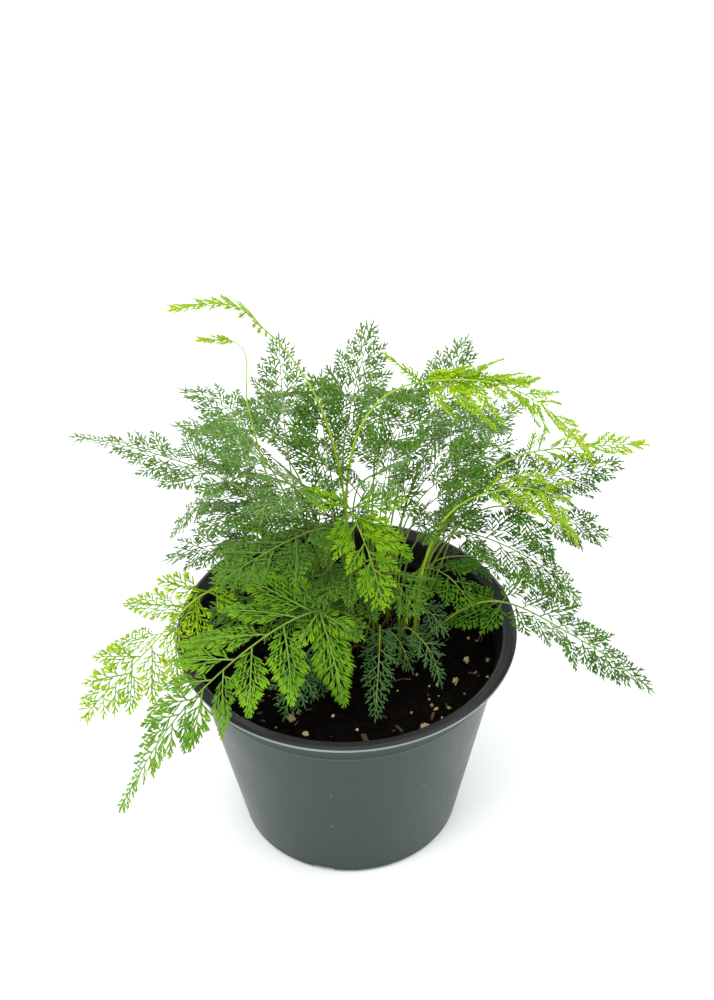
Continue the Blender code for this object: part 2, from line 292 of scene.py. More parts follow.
def aimed(start, heading, length, width, height, roll=0.0):
    """The matrix that lays a unit shape flat from start along a heading in degrees."""
    turn = Matrix.Rotation(math.radians(heading), 4, "Z") @ Matrix.Rotation(math.radians(roll), 4, "X")
    return Matrix.Translation(start) @ turn @ Matrix.Diagonal((length, width, height, 1))


def ahead(start, heading, distance):
    """The point that lies a distance from start along a heading in degrees."""
    turn = math.radians(heading)
    return start + Vector((math.cos(turn), math.sin(turn), 0)) * distance


@dataclass
class Habit:
    """How one kind of leaf divides. Lengths are in millimetres and angles in degrees."""

    lobe: bpy.types.Mesh
    width: float  # of a lobe
    reach: float  # of the longest lobe
    gap: float  # from one lobe to the next
    lean: float  # of a lobe from its sprig
    sprig_gap: float  # from one sprig to the next
    sprig_lean: float  # of a sprig from its spray
    ruffle: float  # how far the lobes roll out of the leaf's plane
    rib: float  # a sprig's rib, across
    forked: float  # how many of the long lobes part into two, as a share
    fullness: float  # how much the longest sprig grows with the spray
    spread: float  # how much the gap between sprays grows with them


HABITS = {
    "broad": Habit(
        BLUNT_LOBE, width=0.98, reach=6.2, gap=2.0, lean=17, sprig_gap=3.4, sprig_lean=31,
        ruffle=12, rib=0.72, forked=0.15, fullness=0.40, spread=0.18,
    ),
    "fine": Habit(
        SLIM_LOBE, width=0.82, reach=4.0, gap=1.35, lean=30, sprig_gap=2.8, sprig_lean=40,
        ruffle=18, rib=0.5, forked=0.15, fullness=0.39, spread=0.15,
    ),
    "young": Habit(
        BLUNT_LOBE, width=0.85, reach=4.2, gap=1.6, lean=27, sprig_gap=3.3, sprig_lean=38,
        ruffle=16, rib=0.6, forked=0.4, fullness=0.41, spread=0.20,
    ),
    "furled": Habit(
        BLUNT_LOBE, width=0.85, reach=3.2, gap=1.0, lean=22, sprig_gap=1.7, sprig_lean=34,
        ruffle=55, rib=0.6, forked=0.4, fullness=0.15, spread=0.12,
    ),
}
SHORTEST_SPRIG = 4.8  # in lobe widths, below which a sprig is one lobe
SHORTEST_FORK = 2.6


def add_lobe(bm, habit, start, heading, length, width, rng, lot):
    """One lobe, which may part near its end into two."""
    roll = rng.gauss(0, habit.ruffle)
    add_copy(bm, habit.lobe, aimed(start, heading, length, width, LOBE_THICKNESS, roll), lot)
    if length > SHORTEST_FORK and rng.random() < habit.forked:
        turn = heading + rng.choice((-1, 1)) * rng.uniform(20, 30)
        fork = ahead(start, heading, length * 0.5)
        add_copy(bm, habit.lobe, aimed(fork, turn, length * 0.46, width * 0.85, LOBE_THICKNESS, roll), lot)


def add_sprig(bm, habit, start, heading, length, rng, lot):
    """A sprig: a rib with lobes that lean forward on alternate sides, and one or two at its end."""
    width = habit.width * rng.uniform(0.9, 1.1)
    if length < SHORTEST_SPRIG * habit.width:
        add_lobe(bm, habit, start, heading, length, width, rng, lot)
        return
    rib_length = max(length - 0.8 * habit.reach, 0.42 * length)
    add_copy(bm, TWIG, aimed(start, heading, rib_length, habit.rib, RIB_THICKNESS), lot)
    side = rng.choice((-1, 1))
    at = habit.gap * rng.uniform(0.4, 0.7)
    while at < rib_length:
        lean = habit.lean * (1.25 - 0.4 * at / length) + rng.gauss(0, 2.5)
        left = 0.94 * length - at
        reach = min(habit.reach, left) * rng.uniform(0.9, 1.04)
        add_lobe(bm, habit, ahead(start, heading, at), heading + side * lean, reach, width, rng, lot)
        side = -side
        at += habit.gap * rng.uniform(0.85, 1.15)
    end = ahead(start, heading, rib_length * 0.92)
    for turn in (-8, 9) if length > 6 else (0,):
        add_lobe(bm, habit, end, heading + turn, length - rib_length * 0.92, width, rng, lot)


def spray_outline(share):
    """How long a spray's sprigs are along it, as a share of the longest."""
    return min(1.0, 0.6 + 1.8 * share) * (1 - share) ** 0.75


def make_spray(habit, length, seed):
    """A side spray laid flat along +X: a rib with sprigs on alternate sides, longest near its base."""
    rng = random.Random(seed)
    bm = bmesh.new()
    bm.from_mesh(RIB)
    rib_place = aimed(Vector(), 0, length * 0.92, habit.rib * 1.25, habit.rib)
    bmesh.ops.transform(bm, matrix=rib_place, verts=bm.verts)
    longest = habit.fullness * length + 2.8
    closeness = 0.62 + 0.38 * min(1.0, length / 30)
    side = rng.choice((-1, 1))
    at = 0.06 * length + 0.8
    while at < length * 0.9:
        share = at / length
        reach = max(2.4, longest * spray_outline(share)) * rng.uniform(0.9, 1.08)
        lean = habit.sprig_lean * (1.12 - 0.45 * share) + rng.gauss(0, 3)
        start = Vector((at, 0, 0))
        add_sprig(bm, habit, start, side * lean, reach, rng, rng.random())
        side = -side
        at += habit.sprig_gap * (0.45 + 0.55 * reach / longest) * closeness * rng.uniform(0.75, 0.95)
    add_sprig(bm, habit, Vector((length * 0.84, 0, 0)), 0, max(3.4, length * 0.16), rng, rng.random())
    return to_mesh(bm, "spray")


SPRAY_SIZES = (4, 6, 8, 11, 14, 18, 23, 29, 36, 44)
SPRAY_VARIANTS = 3
SPRAYS = {}


def spray_for(kind, length, number):
    """A ready spray of about that length, with its vertices' places, made once and used many times."""
    size = min(SPRAY_SIZES, key=lambda s: abs(s - length))
    variant = number % SPRAY_VARIANTS
    key = (kind, size, variant)
    if key not in SPRAYS:
        mesh = make_spray(HABITS[kind], size, f"{kind} {size} {variant}")
        places = np.empty(len(mesh.vertices) * 3)
        mesh.vertices.foreach_get("co", places)
        SPRAYS[key] = (mesh, places.reshape(-1, 3), size)
    return SPRAYS[key]


# ---------------------------------------------------------------- fronds


def crown_height(x, y):
    """How far the crown stands above the compost at a place."""
    share = math.hypot(x - CROWN_PLACE[0], y - CROWN_PLACE[1]) / CROWN_RADIUS
    return CROWN_HEIGHT * max(0.0, 1 - share * share)


class Route:
    """A frond's midrib: a smooth curve through its foot, shoulder, middle and tip, as the CAD lays it."""

    def __init__(self, foot, stations):
        ground = COMPOST_TOP
        rise = foot[2] if len(foot) == 3 else crown_height(*foot) + 0.2
        start = Vector((foot[0], foot[1], ground + rise))
        self.points = [start] + [Vector((x, y, ground + z)) for x, y, z in stations]
        self.knots = [0.0]
        for here, there in zip(self.points, self.points[1:]):
            self.knots.append(self.knots[-1] + (there - here).length)
        self.length, self.shoulder = self.knots[-1], self.knots[1]
        steps = [b - a for a, b in zip(self.knots, self.knots[1:])]
        slants = [(b - a) / step for a, b, step in zip(self.points, self.points[1:], steps)]
        inner = []
        for i in range(len(slants) - 1):
            inner.append((slants[i] * steps[i + 1] + slants[i + 1] * steps[i]) / (steps[i] + steps[i + 1]))
        self.slopes = [1.5 * slants[0] - 0.5 * inner[0], *inner, 1.5 * slants[-1] - 0.5 * inner[-1]]
        heading = self.points[-1] - self.points[1]
        heading.z = 0
        self.side = heading.cross(UP).normalized()

    def locate(self, along):
        """(point, direction) at a distance along the curve."""
        along = min(max(along, 0.0), self.length)
        i = next((n for n in range(3) if along <= self.knots[n + 1]), 2)
        span = self.knots[i + 1] - self.knots[i]
        t = (along - self.knots[i]) / span
        a, b = self.points[i], self.points[i + 1]
        m, n = self.slopes[i] * span, self.slopes[i + 1] * span
        point = (2 * t**3 - 3 * t**2 + 1) * a + (t**3 - 2 * t**2 + t) * m
        point += (3 * t**2 - 2 * t**3) * b + (t**3 - t**2) * n
        slope = (6 * t**2 - 6 * t) * (a - b) + (3 * t**2 - 4 * t + 1) * m + (3 * t**2 - 2 * t) * n
        return point, slope.normalized()

    def frame(self, along, roll=0.0):
        """(point, direction, side, normal) at a distance along the curve."""
        point, direction = self.locate(along)
        normal = self.side.cross(direction).normalized()
        turn = Matrix.Rotation(math.radians(roll), 3, direction)
        return point, direction, turn @ direction.cross(normal), turn @ normal


BLADE_WIDEST = 0.14
SIDE_DROOP = 0.012


def blade_outline(share, taper):
    """A blade's width along it, as a share of its widest."""
    opening = min(1.0, 0.4 + 0.6 * share / BLADE_WIDEST)
    return opening * min(1.0, (1 - share) / (1 - BLADE_WIDEST)) ** taper


def lay_spray(bm, spray, base, direction, across, normal, scale, forward, droop, along):
    """Adds a spray to a frond, bent forward in its plane, down out of it, and down at its sides."""
    mesh, places, _ = spray
    u, v, w = (places * (scale, scale, 1.0)).T
    d, a, n, b = (np.array(x) for x in (direction, across, normal, base))
    rise = forward * u * u
    fall = droop * u * u
    bent = b + np.outer(u, d) + np.outer(rise, a) - np.outer(fall, n)
    bent += np.outer(v, a) - np.outer(v * 2 * forward * u, d)
    bent += np.outer(w - SIDE_DROOP * v * v, n) + np.outer(w * 2 * droop * u, d)
    copy = mesh.copy()
    copy.vertices.foreach_set("co", bent.ravel())
    copy.attributes["along"].data.foreach_set("value", np.full(len(u), along))
    bm.from_mesh(copy)
    bpy.data.meshes.remove(copy)


STALK_SIDES = 8
STALK_WIDTH, YOUNG_STALK_WIDTH, MIDRIB_END = 1.3, 1.7, 0.4
# The share of a sprout's blade that has nothing on it yet.
BARE = {"frond_crozier_sprout": 0.72, "frond_tall_sprout": 0.02}
# The sprays at the foot of some blades: the share of the blade where each starts, and the point (x, y, z)
# that it reaches, above the compost.
FIRST_SPRAYS = {
    "frond_front_arch": (
        (0.0, (2, -56, 14)),
        (0.01, (10, -38, 42)),
        (0.0, (-25, -48, 44)),
        (0.03, (-52, -27, 76)),
        (0.0, (-24, -24, 72)),
    ),
    "frond_left_lime": (
        (0.0, (-88, -14, 60)),
        (0.0, (-48, -22, 50)),
        (0.04, (-84, -34, 40)),
    ),
    "frond_right_low": (
        (0.0, (45, -14, 27)),
        (0.0, (57, -6, 42)),
        (0.02, (63, -28, 34)),
        (0.02, (86, -12, 62)),
    ),
    "frond_top_lime": (
        (0.0, (88, 20, 150)),
        (0.0, (60, 16, 158)),
        (0.0, (20, 10, 168)),
        (0.03, (54, 4, 134)),
    ),
    "frond_centre_lime": (
        (0.0, (-20, -4, 104)),
        (0.0, (30, -8, 102)),
        (0.06, (33, -24, 80)),
        (0.06, (-8, -26, 84)),
    ),
}


def add_stalk(bm, route, thickness, end_thickness):
    """The stalk and midrib, a tapered round wire along the whole route."""
    ring = bmesh.ops.create_circle(bm, cap_ends=True, segments=STALK_SIDES, radius=1.0)["verts"]
    cap = ring[0].link_faces[0]
    count = max(14, int(route.length / 5))
    turns = [i * math.tau / STALK_SIDES for i in range(STALK_SIDES)]
    for i in range(count + 1):
        share = i / count
        point, _, side, normal = route.frame(share * route.length)
        swell = 1 + 0.35 * max(0, 1 - share * 12)
        half = 0.5 * (thickness + (end_thickness - thickness) * share**0.9) * swell
        if i:
            made = bmesh.ops.extrude_face_region(bm, geom=[cap])["geom"]
            fresh = next(f for f in made if isinstance(f, bmesh.types.BMFace))
            if i > 1:
                bmesh.ops.delete(bm, geom=[cap], context="FACES_ONLY")
            cap = fresh
        for corner, turn in zip(list(cap.verts), turns):
            corner.co = point + side * math.cos(turn) * half + normal * math.sin(turn) * half


def add_first_sprays(bm, name, kind, route, blade):
    """The sprays that have a place of their own, with their faces up and a little forward."""
    for share, (x, y, z) in FIRST_SPRAYS.get(name, ()):
        point, _ = route.locate(route.shoulder + share * blade)
        out = Vector((x, y, COMPOST_TOP + z)) - point
        length = out.length
        out.normalize()
        toward_tip = out.cross(Vector((0, -0.6, 0.8))).normalized()
        face_up = toward_tip.cross(out)
        spray = spray_for(kind, length, round(length))
        lay_spray(bm, spray, point, out, toward_tip, face_up, length / spray[2], 0.001, 0.003, share)


def grow_frond(name, frond, replaced=()):
    """One frond as one piece: its stalk, its side sprays and its end."""
    foot, shoulder, middle, tip, width, taper, roll, kind, look = frond
    rng = random.Random(name)
    route = Route(foot, (shoulder, middle, tip))
    blade = route.length - route.shoulder
    bm = layered(*LEAF_LAYERS)
    add_stalk(bm, route, YOUNG_STALK_WIDTH if look == "lime" else STALK_WIDTH, MIDRIB_END)
    for face in bm.faces:
        face.material_index = 1
    stalk_faces = len(bm.faces)
    add_first_sprays(bm, name, kind, route, blade)
    side = rng.choice((-1, 1))
    at = BARE.get(name, 0.1 if name in FIRST_SPRAYS else 0.01) * blade
    count = 0
    while at < 0.97 * blade:
        share = at / blade
        half = 0.5 * width * blade_outline(max(share, 0.06), taper)
        lean = math.radians(60 - 28 * share + rng.gauss(0, 3))
        length = max(3.6, half / math.sin(lean) * rng.uniform(0.95, 1.08))
        point, direction, across, normal = route.frame(route.shoulder + at, roll * (0.3 + 0.7 * share))
        tilt = Matrix.Rotation(math.radians(rng.gauss(0, min(12, HABITS[kind].ruffle * 0.6))), 3, direction)
        across, normal = tilt @ across, tilt @ normal
        out = (direction * math.cos(lean) + across * side * math.sin(lean)).normalized()
        twist = Matrix.Rotation(math.radians(rng.gauss(0, 9)), 3, out)
        face_up = twist @ normal
        toward_tip = face_up.cross(out).normalized() * side
        spray = spray_for(kind, length, count + rng.randrange(3))
        scale = length / spray[2]
        forward = 0.0025 * rng.uniform(-0.3, 1.2) * (30 / max(length, 18))
        droop = 0.0035 * rng.uniform(0.4, 1.4)
        lay_spray(bm, spray, point, out, toward_tip, face_up, scale, forward, droop, share)
        side = -side
        count += 1
        at += (HABITS[kind].spread * length + 0.9) * rng.uniform(0.9, 1.12)
    point, direction, across, normal = route.frame(route.shoulder + 0.96 * blade, roll)
    lay_spray(bm, spray_for(kind, 4, 0), point, direction, across, normal, 1.0, 0.0, 0.01, 1.0)
    bm.faces.ensure_lookup_table()
    for face in bm.faces[stalk_faces:]:
        face.material_index = 0
    bmesh.ops.recalc_face_normals(bm, faces=bm.faces)
    slot = "young_frond" if "lime" in name or "sprout" in name else "frond"
    stalk = YOUNG_STALK if look == "lime" else STALK
    return finish_piece(name + "_leaf", bm, [LEAVES[look], stalk], replaced)


# Each frond: its name after frond_, its foot (x, y), then (x, y, z) of its shoulder, middle and tip above the
# compost, the blade's width, how quickly it narrows, its roll in degrees, how it divides and its colouring.
FRONDS = (
    ("front_arch", (22, -6), (-12, -32, 55), (-69, -78, 44), (-105, -95, -9), 80, 1.5, 0, "broad", "fresh"),
    ("left_lime", (-6, -4), (-64, -16, 54), (-93, -38, 37), (-122, -60, 17), 58, 0.9, -25, "young", "lime"),
    ("centre_lime", (14, 6), (3, -10, 97), (11, -28, 86), (17, -42, 67), 36, 0.8, 0, "broad", "spring"),
    ("right_low", (30, -8), (72, -18, 46), (107, -28, 32), (144, -36, 4), 40, 0.9, 15, "fine", "right"),
    ("right_mid", (34, 2), (55, 4, 70), (85, 2, 57), (112, 0, 30), 54, 1.0, 15, "fine", "right"),
    ("right_dark", (30, 14), (74, 16, 76), (101, 20, 65), (126, 22, 52), 50, 0.9, 10, "fine", "right"),
    ("right_lime_low", (32, -4), (65, 0, 96), (88, -4, 101), (107, -12, 77), 40, 1.2, 10, "furled", "lime"),
    ("right_lime_high", (26, 8), (86, 16, 107), (110, 20, 107), (140, 22, 106),
     30, 1.0, 10, "furled", "lime"),
    ("top_lime", (4, 8), (36, 12, 151), (73, 8, 151), (112, 0, 120), 50, 1.0, 0, "furled", "lime"),
    ("tall_sprout", (2, 14), (-31, 12, 179), (-45, 8, 196), (-70, 0, 200), 14, 1.0, 0, "furled", "lime"),
    ("crozier_sprout", (-12, 12), (-42, 12, 140), (-46, 10, 176), (-60, 9, 178), 9, 1.0, 0, "furled", "lime"),
    ("back_peak", (12, 22), (1, 45, 95), (8, 60, 121), (15, 72, 141), 46, 0.9, 0, "fine", "blue"),
    ("back_peak_left", (0, 24), (-26, 34, 98), (-28, 52, 117), (-29, 70, 136), 44, 0.9, 0, "fine", "blue"),
    ("back_left_high", (-8, 22), (-40, 24, 108), (-54, 40, 119), (-74, 54, 120), 38, 1.0, 0, "fine", "blue"),
    ("left_high", (-12, 10), (-34, -2, 118), (-50, -2, 131), (-72, -4, 141), 38, 1.0, -10, "fine", "blue"),
    ("left_long", (-16, 8), (-50, 8, 98), (-86, 16, 111), (-124, 24, 116), 52, 1.7, -5, "fine", "blue"),
    ("far_left_droop", (-10, 26), (-46, 55, 66), (-68, 75, 40), (-91, 85, 6), 34, 0.9, -38, "fine", "blue"),
    ("left_middle", (-14, 16), (-34, 24, 68), (-50, 28, 74), (-70, 32, 66), 40, 0.9, 0, "fine", "blue"),
    ("left_low", (-18, 10), (-43, 14, 57), (-62, 16, 56), (-84, 14, 50), 38, 0.9, 0, "fine", "blue"),
    ("right_back", (24, 22), (46, 42, 90), (66, 56, 94), (88, 68, 98), 40, 1.0, 0, "fine", "blue"),
    ("right_back_low", (28, 18), (75, 34, 78), (105, 44, 72), (134, 52, 73), 52, 0.9, 10, "fine", "right"),
    ("back_right_peak", (18, 24), (37, 50, 96), (50, 65, 112), (60, 78, 128), 42, 0.9, 0, "fine", "blue"),
    ("inner_right", (34, 18), (52, 28, 50), (56, 36, 60), (56, 44, 68), 32, 0.9, 0, "fine", "deep"),
    ("inner_left", (-2, 2), (-9, -4, 81), (-31, -22, 85), (-58, -38, 77), 62, 1.0, 0, "fine", "deep"),
    ("high_middle", (6, 20), (-6, 32, 86), (-9, 42, 108), (-9, 54, 125), 44, 0.9, 0, "fine", "deep"),
    ("high_middle_right", (18, 18), (20, 20, 108), (28, 30, 118), (36, 42, 129), 40, 0.9, 0, "fine", "deep"),
    ("high_right", (26, 12), (42, 12, 92), (60, 18, 102), (78, 26, 106), 38, 1.0, 0, "fine", "deep"),
    ("centre", (22, 14), (22, 16, 72), (28, 20, 82), (34, 26, 90), 30, 0.9, 0, "fine", "deep"),
    ("centre_left", (-6, 12), (-8, 18, 60), (-10, 22, 74), (-12, 28, 86), 32, 0.9, 0, "fine", "deep"),
    ("inner_front", (14, -10), (16, -22, 34), (15, -34, 24), (13, -50, 6), 20, 0.9, 0, "fine", "shaded"),
    ("inner_front_left", (0, -10), (-17, -26, 26), (-22, -38, 22), (-29, -50, 8),
     30, 0.9, 0, "fine", "shaded"),
    ("inner_front_right", (26, -12), (30, -18, 30), (38, -24, 24), (44, -32, 10),
     18, 0.9, 0, "fine", "shaded"),
    ("inner_centre", (8, -2), (11, -10, 66), (0, -22, 66), (-12, -34, 63), 38, 0.9, 0, "broad", "deep"),
    ("inner_right_low", (34, 10), (48, 10, 50), (62, 10, 50), (78, 10, 40), 30, 0.9, 0, "fine", "right"),
    ("far_left", (-4, 26), (-34, 60, 84), (-54, 84, 80), (-76, 104, 58), 46, 0.9, 0, "fine", "blue"),
    ("far_middle_left", (4, 28), (-10, 66, 92), (-22, 94, 88), (-34, 122, 64), 50, 0.9, 0, "fine", "blue"),
    ("far_middle", (12, 30), (18, 70, 88), (22, 98, 84), (26, 128, 60), 50, 0.9, 0, "fine", "blue"),
    ("far_right", (20, 26), (46, 64, 80), (64, 88, 76), (84, 110, 52), 48, 0.9, 0, "fine", "blue"),
    ("far_side", (28, 22), (66, 50, 58), (90, 66, 52), (114, 80, 32), 44, 0.9, 0, "fine", "deep"),
    ("low_left", (-14, -2), (-36, -10, 36), (-56, -14, 32), (-74, -18, 20), 34, 0.9, 0, "fine", "deep"),
    ("low_back_left", (-12, 18), (-34, 34, 40), (-50, 46, 36), (-64, 56, 22), 38, 0.9, 0, "fine", "deep"),
    ("low_back", (8, 30), (2, 46, 38), (-2, 60, 36), (-6, 72, 24), 36, 0.9, 0, "fine", "deep"),
    ("low_back_right", (26, 26), (38, 42, 38), (50, 54, 36), (60, 66, 24), 36, 0.9, 0, "fine", "deep"),
)


def leaf_finish(name, rib, body, tip, shade, old, roughness=0.5):
    """A leaf's colouring: along each lobe from rib to tip, then sprig by sprig and along the frond.

    The share old says how strongly the leaf is flecked with brown, and shade is painted shade at the lobes'
    bases.
    """
    rib, body, tip, shade = srgb(*rib), srgb(*body), srgb(*tip), srgb(*shade)
    finish = Finish(name, roughness, Specular_IOR_Level=0.16)
    reach, lot, along = finish.read("reach"), finish.read("lot"), finish.read("along")
    patches = finish.noise(55, 2)
    # Ribs keep the rib colour; each lobe starts from painted shade at its base, between the lobes, and eases
    # into the body colour.
    green = finish.blend(reach.between(-0.6, -0.4), rib, shade)
    green = finish.blend(reach.between(-0.05, 0.32), green, body)
    green = finish.blend(reach.between(0.5, 1.0), green, tip)
    # Patches and whole sprigs darken towards the same colour at random, as the leaf's own uneven tone.
    green = finish.blend(patches.between(0.42, 0.7) * 0.5 + lot * 0.45, green, shade)
    green = finish.blend(along.between(0.55, 1.1) * 0.35, green, tip)
    flecks = finish.noise(420, 1)
    green = finish.blend(flecks.between(0.64, 0.74) * old, green, srgb(120, 110, 40))
    finish.set(Base_Color=green)
    finish.set(Roughness=finish.noise(160, 1).between(0.2, 0.8) * 0.22 + roughness - 0.1)
    return finish.material


# Each look: rib, body and tip colours, the colour of the painted shade at the lobes' bases, and how flecked
# it is.
LEAVES = {
    "fresh": leaf_finish("fresh leaf", (136, 176, 64), (122, 178, 22), (152, 202, 40), (70, 126, 4), 0.2),
    "spring": leaf_finish("spring leaf", (112, 158, 6), (124, 176, 0), (172, 210, 0), (78, 134, 0), 0.1),
    "lime": leaf_finish("lime leaf", (120, 170, 0), (172, 212, 0), (212, 232, 0), (124, 178, 0), 0.1, 0.42),
    "shaded": leaf_finish("shaded leaf", (112, 150, 92), (84, 130, 66), (100, 144, 82), (48, 92, 36), 0.3),
    "right": leaf_finish("right-hand leaf", (96, 138, 34), (80, 134, 6), (106, 156, 16), (44, 94, 0), 0.3),
    "deep": leaf_finish("deep leaf", (114, 154, 62), (94, 146, 32), (114, 164, 48), (58, 106, 12), 0.3),
    # The back fronds' green with a painted blue-grey reflection of the white studio mixed in.
    "blue": leaf_finish(
        "blue-green leaf", (130, 166, 90), (116, 160, 72), (140, 180, 98), (80, 126, 42), 0.35
    ),
}


def stalk_finish(name, pale, deep):
    """A smooth stalk, faintly mottled."""
    finish = Finish(name, 0.4, Specular_IOR_Level=0.3)
    mottle = finish.noise(90, 3)
    finish.set(Base_Color=finish.blend(mottle.between(0.35, 0.7), pale, deep))
    return finish.material


STALK = stalk_finish("stalk", srgb(138, 168, 52), srgb(104, 134, 38))
YOUNG_STALK = stalk_finish("young stalk", srgb(172, 204, 34), srgb(134, 172, 22))

# Smaller leaves that fill the middle of the plant, given in the same way but with their whole names.
UNDERGROWTH = (
    ("shaded_1", (16, -8), (20, -12, 24), (24, -18, 24), (30, -26, 14), 20, 0.8, 0, "fine", "shaded"),
    ("shaded_2", (26, -6), (32, -10, 38), (38, -14, 38), (46, -18, 30), 22, 0.8, 0, "fine", "shaded"),
    ("shaded_3", (2, -8), (-6, -18, 22), (-10, -26, 18), (-16, -38, 8), 22, 0.8, 0, "fine", "shaded"),
    ("inner_1", (-10, 12), (-22, 8, 58), (-38, -2, 66), (-58, -14, 62), 52, 0.8, 0, "fine", "deep"),
    ("inner_2", (-8, 16), (-24, 18, 70), (-42, 14, 78), (-66, 8, 74), 50, 0.8, 8, "fine", "blue"),
    ("inner_3", (2, 12), (-8, 8, 74), (-14, -4, 80), (-20, -20, 74), 48, 0.8, -8, "fine", "deep"),
    ("inner_4", (-2, 18), (-12, 20, 80), (-22, 16, 90), (-36, 8, 90), 50, 0.8, 0, "fine", "blue"),
    ("inner_5", (10, 16), (6, 20, 84), (0, 18, 94), (-8, 10, 94), 46, 0.8, 10, "fine", "deep"),
    ("inner_6", (14, 18), (20, 26, 86), (22, 30, 96), (24, 30, 104), 46, 0.8, 0, "fine", "blue"),
    ("inner_7", (20, 12), (32, 14, 66), (46, 12, 76), (62, 8, 76), 44, 0.8, -8, "fine", "deep"),
    ("inner_8", (4, -2), (-6, -10, 48), (-20, -20, 52), (-38, -32, 44), 46, 0.8, 6, "fine", "deep"),
    ("inner_9", (-4, 4), (-22, -2, 44), (-40, -8, 46), (-62, -14, 38), 44, 0.8, 0, "fine", "deep"),
    ("inner_10", (12, -2), (10, -12, 50), (4, -22, 50), (-4, -34, 40), 40, 0.8, 0, "fine", "deep"),
    ("inner_11", (-6, 20), (-28, 30, 84), (-46, 34, 94), (-68, 34, 92), 46, 0.8, -6, "fine", "blue"),
    ("inner_12", (22, 20), (38, 30, 80), (50, 36, 90), (64, 40, 92), 46, 0.8, 0, "fine", "blue"),
    ("inner_13", (16, 4), (16, -8, 60), (22, -18, 62), (32, -30, 52), 40, 0.8, 0, "fine", "deep"),
    ("inner_14", (6, 8), (0, -4, 66), (-8, -16, 66), (-18, -30, 56), 44, 0.8, 0, "fine", "deep"),
    ("inner_15", (8, 18), (10, 10, 98), (14, 2, 106), (20, -8, 104), 44, 0.8, 0, "fine", "blue"),
    ("inner_16", (0, 16), (-16, 8, 96), (-26, -4, 104), (-38, -18, 102), 44, 0.8, 0, "fine", "blue"),
    ("inner_17", (28, 6), (40, 0, 52), (48, -8, 54), (58, -18, 46), 38, 0.8, 0, "fine", "right"),
    ("inner_18", (18, 22), (22, 44, 72), (24, 58, 78), (26, 74, 72), 46, 0.8, 0, "fine", "deep"),
    ("inner_19", (2, 24), (-8, 44, 72), (-12, 58, 78), (-18, 76, 72), 46, 0.8, 0, "fine", "deep"),
    ("inner_20", (26, 16), (44, 18, 80), (56, 18, 88), (72, 16, 88), 46, 0.8, 0, "fine", "deep"),
)

for name, *frond in FRONDS:
    grow_frond("frond_" + name, frond, ["frond_" + name])
for name, *frond in UNDERGROWTH:
    grow_frond(name, frond)


# ---------------------------------------------------------------- pot


def arc(centre, radius, start, end, steps):
    """Points of an arc in a profile's plane, with angles in degrees."""
    turns = [math.radians(start + (end - start) * i / steps) for i in range(steps + 1)]
    return [(centre[0] + radius * math.cos(t), centre[1] + radius * math.sin(t)) for t in turns]


def spun(profile, sides):
    """A closed solid turned from a profile of (radius, height) points."""
    bm = bmesh.new()
    verts = [bm.verts.new((radius, 0, height)) for radius, height in profile]
    edges = [bm.edges.new(pair) for pair in zip(verts, verts[1:])]
    bmesh.ops.spin(
        bm, geom=verts + edges, axis=UP, cent=(0, 0, 0), angle=math.tau, steps=sides, use_merge=True
    )
    bmesh.ops.remove_doubles(bm, verts=bm.verts, dist=0.0005)
    bmesh.ops.recalc_face_normals(bm, faces=bm.faces)
    return bm


def wall(height):
    """The outer radius of the pot's plain wall at a height."""
    top = LIP_RADIUS - LIP_WIDTH
    return FOOT_RADIUS + (top - FOOT_RADIUS) * height / (POT_HEIGHT - LIP_CROWN)


def pot_profile():
    """Half the pot's outline: up the outside, over the flat lip with its low bead, and down the inside."""
    band = POT_HEIGHT - BAND_DEPTH
    under = POT_HEIGHT - LIP_DROP - POT_WALL
    rim = LIP_RADIUS - LIP_WIDTH
    points = [(0, 0), (30, 0)]
    points += arc((wall(3.2) - 3.2, 3.2), 3.2, -90, 0, 8)
    points += [(wall(z), z) for z in (5, 12, 24, 40, 56, 72, 88, band - 1.2, band - 0.5)]
    points += [(wall(band) + 0.2, band - 0.3), (wall(band) + 0.5, band), (wall(band + 0.5) + 0.5, band + 0.5)]
    points += [(wall(band + 1.1) + 0.3, band + 1.1), (wall(under - 2) + 0.3, under - 2)]
    points += [(wall(under) + 0.8, under - 0.6), (wall(under) + 1.8, under - 0.1)]
    points += [(LIP_RADIUS - 1.4, under)]
    points += arc((LIP_RADIUS - 0.5, under + 0.5), 0.5, -90, 0, 4)
    points += arc((LIP_RADIUS - 0.5, POT_HEIGHT - 0.9), 0.5, 0, 80, 4)
    points += [(LIP_RADIUS - 1.1, POT_HEIGHT - 0.35), (LIP_RADIUS - 1.5, POT_HEIGHT - 0.05)]
    points += [(LIP_RADIUS - 1.9, POT_HEIGHT), (LIP_RADIUS - 2.4, POT_HEIGHT - 0.25)]
    points += [(rim + 1.6, POT_HEIGHT - 0.75), (rim + 0.5, POT_HEIGHT - 1.0), (rim - 0.2, POT_HEIGHT - 1.3)]
    points += [(wall(POT_HEIGHT - 2) - POT_WALL + 0.2, POT_HEIGHT - 2.0)]
    points += [(wall(z) - POT_WALL, z) for z in (112.5, 110, 104, 96, 70, 40, 6)]
    points += arc((wall(3.2) - 3.2, 3.2), 3.2 - POT_WALL, 0, -90, 4)
    return points + [(0, POT_WALL)]


